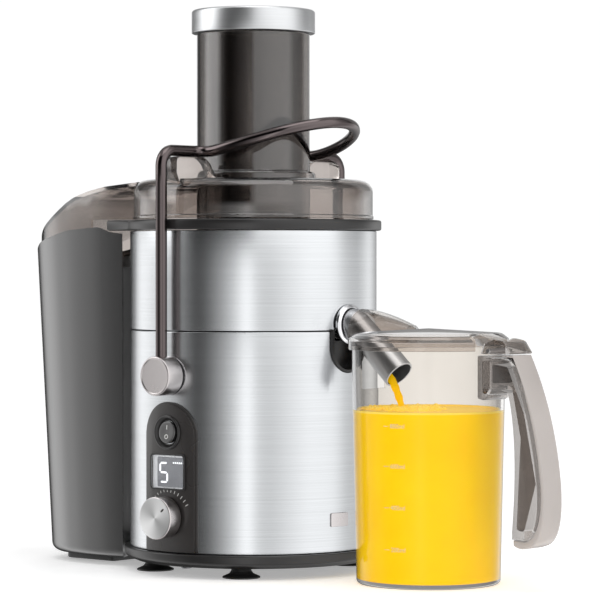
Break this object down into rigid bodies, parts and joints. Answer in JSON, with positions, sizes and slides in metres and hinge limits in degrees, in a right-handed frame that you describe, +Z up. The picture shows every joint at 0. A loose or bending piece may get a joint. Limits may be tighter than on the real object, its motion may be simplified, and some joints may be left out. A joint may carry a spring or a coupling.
{
  "type": "centrifugal juicer",
  "caption": "Centrifugal juicer with a steel motor base, wide feed chute and pusher, wire locking arm, side pulp container, and a lidded juice jug under its spout.",
  "frame": {"origin": "on the table, under the middle of the whole machine with its container and jug in place", "axes": "+Z up; +X towards the spout and the juice jug, -X towards the pulp container; -Y is the front, with the controls"},
  "size_m": [0.4938, 0.228, 0.439],
  "materials": {
    "brushed_steel": "fine circumferential brushing",
    "polished_steel": "polished",
    "arm_wire": "dark polished wire",
    "black_plastic": "satin moulded",
    "charcoal_plastic": "satin moulded",
    "smoked_plastic": "clear smoked, glossy",
    "rubber": "matt",
    "copper": "enamelled wire and segments",
    "steel_parts": "plain machined",
    "circuit": "lacquered board",
    "display": "lit panel"
  },
  "bodies": {
    "root": {"badge_plate": "brushed_steel", "base_cover": "black_plastic", "base_screw_1": "steel_parts", "base_screw_2": "steel_parts", "base_screw_3": "steel_parts", "base_screw_4": "steel_parts", "bowl_rim": "black_plastic", "bowl_surround": "brushed_steel", "carbon_brush_1": "rubber", "carbon_brush_2": "rubber", "circuit_board": "circuit", "control_panel": "charcoal_plastic", "cord_gland": "rubber", "display_module": "display", "display_window": "smoked_plastic", "foot_1": "rubber", "foot_2": "rubber", "foot_3": "rubber", "foot_4": "rubber", "juice_bowl": "smoked_plastic", "juice_spout": "brushed_steel", "juicer_lid": "smoked_plastic", "lower_bearing": "polished_steel", "motor_bracket": "steel_parts", "motor_chassis": "charcoal_plastic", "motor_housing": "brushed_steel", "motor_stator": "steel_parts", "motor_top_bracket": "steel_parts", "pivot_bush_back": "black_plastic", "pivot_bush_front": "black_plastic", "shaft_seal": "rubber", "speed_encoder": "black_plastic", "spout_flange": "polished_steel", "spout_saddle": "black_plastic", "stator_winding": "copper", "switch_bezel": "black_plastic", "upper_bearing": "polished_steel"},
    "rotating_basket": {"motor_shaft": "steel_parts", "cooling_fan": "black_plastic", "commutator": "copper", "motor_rotor": "steel_parts", "drive_coupling": "charcoal_plastic", "filter_basket": "brushed_steel", "basket_hub": "charcoal_plastic", "grating_disc": "polished_steel"},
    "pusher": {"food_pusher": "smoked_plastic", "pusher_cap": "brushed_steel"},
    "arm": {"locking_arm": "arm_wire", "arm_disc_front": "polished_steel", "arm_disc_back": "polished_steel", "pivot_pin_front": "steel_parts", "pivot_pin_back": "steel_parts"},
    "rocker": {"switch_rocker": "charcoal_plastic"},
    "dial": {"dial_knob": "polished_steel", "dial_shaft": "steel_parts"},
    "container": {"pulp_container": "charcoal_plastic"},
    "jug": {"jug_body": "smoked_plastic", "jug_handle": "charcoal_plastic", "jug_hinge_pin": "polished_steel"},
    "jug_cover": {"jug_lid": "smoked_plastic"}
  },
  "joints": [
    {"name": "basket_spin", "type": "hinge", "parent": "root", "child": "rotating_basket", "pos_m": [-0.0425, 0, 0.2], "axis": [0, 0, 1], "continuous": true},
    {"name": "pusher_slide", "type": "slide", "parent": "root", "child": "pusher", "axis": [0, 0, 1], "range_m": [0, 0.12]},
    {"name": "arm_swing", "type": "hinge", "parent": "root", "child": "arm", "pos_m": [-0.0425, 0, 0.154], "axis": [0, 1, 0], "range_deg": [0, 50]},
    {"name": "switch_rock", "type": "hinge", "parent": "root", "child": "rocker", "pos_m": [-0.0425, -0.096, 0.1106], "axis": [1, 0, 0], "range_deg": [0, 12]},
    {"name": "dial_turn", "type": "hinge", "parent": "root", "child": "dial", "pos_m": [-0.0425, -0.106, 0.046], "axis": [0, 1, 0], "range_deg": [-100, 0]},
    {"name": "container_slide", "type": "slide", "parent": "root", "child": "container", "axis": [-1, 0, 0], "range_m": [0, 0.13]},
    {"name": "jug_slide", "type": "slide", "parent": "root", "child": "jug", "axis": [1, 0, 0], "range_m": [0, 0.12]},
    {"name": "jug_lid_hinge", "type": "hinge", "parent": "jug", "child": "jug_cover", "pos_m": [0.1975, 0, 0.1755], "axis": [0, 1, 0], "range_deg": [0, 100]}
  ]
}
